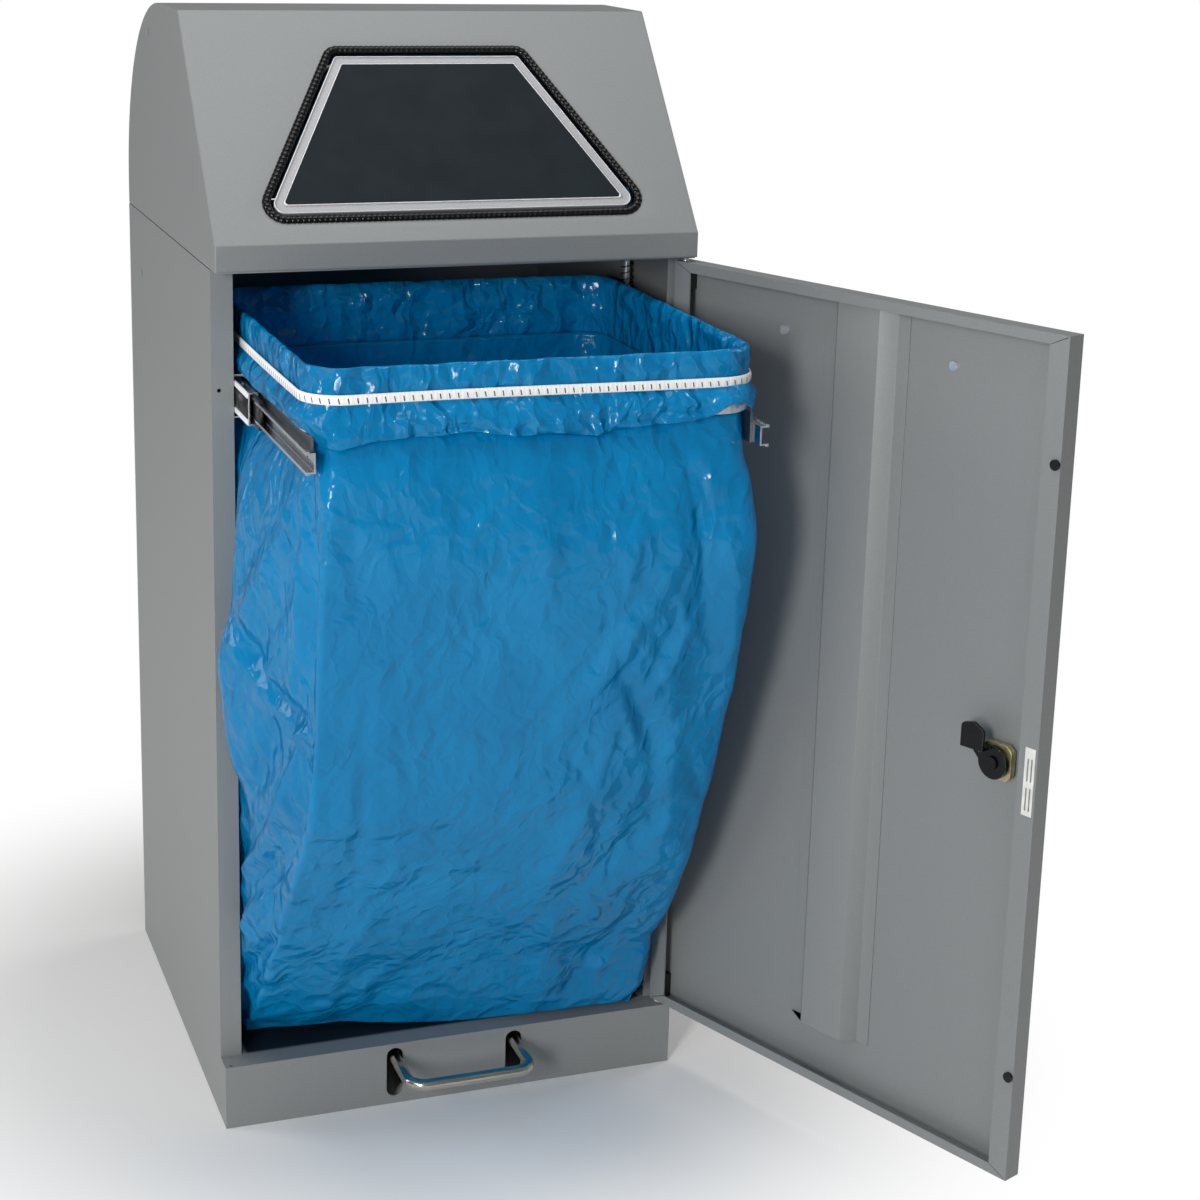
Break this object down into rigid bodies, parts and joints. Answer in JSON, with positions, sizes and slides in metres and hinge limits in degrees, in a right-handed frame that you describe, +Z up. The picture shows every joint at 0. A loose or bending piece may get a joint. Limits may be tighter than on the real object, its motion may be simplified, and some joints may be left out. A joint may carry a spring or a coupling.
{
  "type": "pedal recycling bin",
  "caption": "Grey sheet steel waste collector with a trapezoid flap worked by a pedal, a swung-open door and a blue bag on a pull-out frame.",
  "frame": {"origin": "on the floor, under the centre of the cabinet", "axes": "+X to the right seen from the front, +Y to the rear, +Z up"},
  "size_m": [0.5521, 0.7555, 0.918],
  "materials": {
    "cabinet_grey": "powder coated, satin",
    "black_rubber": "matt",
    "zinc_steel": "zinc plated",
    "polished_steel": "polished",
    "light_plastic": "matt",
    "black_plastic": "satin",
    "bag_film": "glossy thin film",
    "elastic": "woven",
    "flap_silver": "silver paint",
    "flap_dark": "smooth satin",
    "brass": "raw"
  },
  "bodies": {
    "cabinet": {"plinth": "cabinet_grey", "body_shell": "cabinet_grey", "hood_wrap": "cabinet_grey", "hood_cheek_left": "cabinet_grey", "hood_cheek_right": "cabinet_grey", "edge_trim": "black_rubber", "axle_bearings": "zinc_steel", "rod_guides": "light_plastic", "hinge_bushes": "light_plastic", "hinge_washer": "light_plastic", "shaft_bearings": "black_plastic", "slide_brackets": "zinc_steel", "slide_cab_left": "zinc_steel", "slide_cab_right": "zinc_steel", "joint_screws": "zinc_steel", "joint_nuts": "zinc_steel", "side_rivets": "cabinet_grey", "rod_spring": "zinc_steel"},
    "middle_slides": {"slide_mid_left": "zinc_steel", "slide_mid_right": "zinc_steel"},
    "outer_cages": {"cages_outer": "black_plastic"},
    "inner_cages": {"cages_inner": "black_plastic"},
    "bag_frame": {"slide_inner_left": "zinc_steel", "slide_inner_right": "zinc_steel", "frame_ring": "zinc_steel", "frame_bracket_left": "zinc_steel", "frame_bracket_right": "zinc_steel", "frame_rivets": "zinc_steel", "bag": "bag_film", "elastic_band": "elastic"},
    "pedal": {"pedal_tube": "polished_steel", "pedal_hubs": "zinc_steel", "pedal_shaft": "zinc_steel", "pedal_arm": "zinc_steel", "arm_pin": "zinc_steel", "arm_shoe": "light_plastic"},
    "rod": {"push_rod": "zinc_steel", "rod_foot": "black_plastic", "rod_collar": "zinc_steel"},
    "flap": {"flap_plate": "flap_silver", "flap_panel": "flap_dark", "flap_lugs": "zinc_steel", "flap_axle": "zinc_steel", "flap_crank": "zinc_steel", "crank_pin": "zinc_steel"},
    "door": {"door_shell": "cabinet_grey", "door_stiffener": "cabinet_grey", "door_pins": "zinc_steel", "pin_blocks": "black_plastic", "lock_body": "brass", "lock_nut": "zinc_steel", "strike_strip": "light_plastic", "buffers": "black_rubber", "skin_screws": "zinc_steel"},
    "cam": {"lock_cam": "black_plastic", "lock_plug": "brass", "cam_screw": "zinc_steel"}
  },
  "joints": [
    {"name": "door_swing", "type": "hinge", "parent": "cabinet", "child": "door", "pos_m": [0.1935, -0.1902, 0], "axis": [0, 0, 1], "range_deg": [-22.5, 60]},
    {"name": "lock_turn", "type": "hinge", "parent": "door", "child": "cam", "pos_m": [0.32725, -0.5131, 0.391], "axis": [0.9239, 0.3827, 0], "range_deg": [0, 90]},
    {"name": "bag_slide", "type": "slide", "parent": "cabinet", "child": "bag_frame", "axis": [0, 1, 0], "range_m": [0, 0.22]},
    {"name": "middle_slide", "type": "slide", "parent": "cabinet", "child": "middle_slides", "axis": [0, 1, 0], "range_m": [0, 0.049]},
    {"name": "outer_cage_slide", "type": "slide", "parent": "cabinet", "child": "outer_cages", "axis": [0, 1, 0], "range_m": [0, 0.0245]},
    {"name": "inner_cage_slide", "type": "slide", "parent": "cabinet", "child": "inner_cages", "axis": [0, 1, 0], "range_m": [0, 0.1345]},
    {"name": "flap_swing", "type": "hinge", "parent": "cabinet", "child": "flap", "pos_m": [0, -0.08338, 0.87259], "axis": [1, 0, 0], "range_deg": [0, 60], "stiffness_Nm_per_rad": 0.25, "springref_deg": -85.94},
    {"name": "pedal_press", "type": "hinge", "parent": "cabinet", "child": "pedal", "pos_m": [0, -0.13391, 0.0435], "axis": [1, 0, 0], "range_deg": [0, 17.6]},
    {"name": "rod_lift", "type": "slide", "parent": "cabinet", "child": "rod", "axis": [0, 0, 1], "range_m": [0, 0.022], "deforming": ["rod_spring"]}
  ],
  "couplings": [
    {"joint": "middle_slide", "follows": "bag_slide", "ratio": 0.2227},
    {"joint": "outer_cage_slide", "follows": "bag_slide", "ratio": 0.11136},
    {"joint": "inner_cage_slide", "follows": "bag_slide", "ratio": 0.61136},
    {"joint": "pedal_press", "follows": "flap_swing", "ratio": 0.29333},
    {"joint": "rod_lift", "follows": "flap_swing", "m_per_rad": 0.021008}
  ]
}
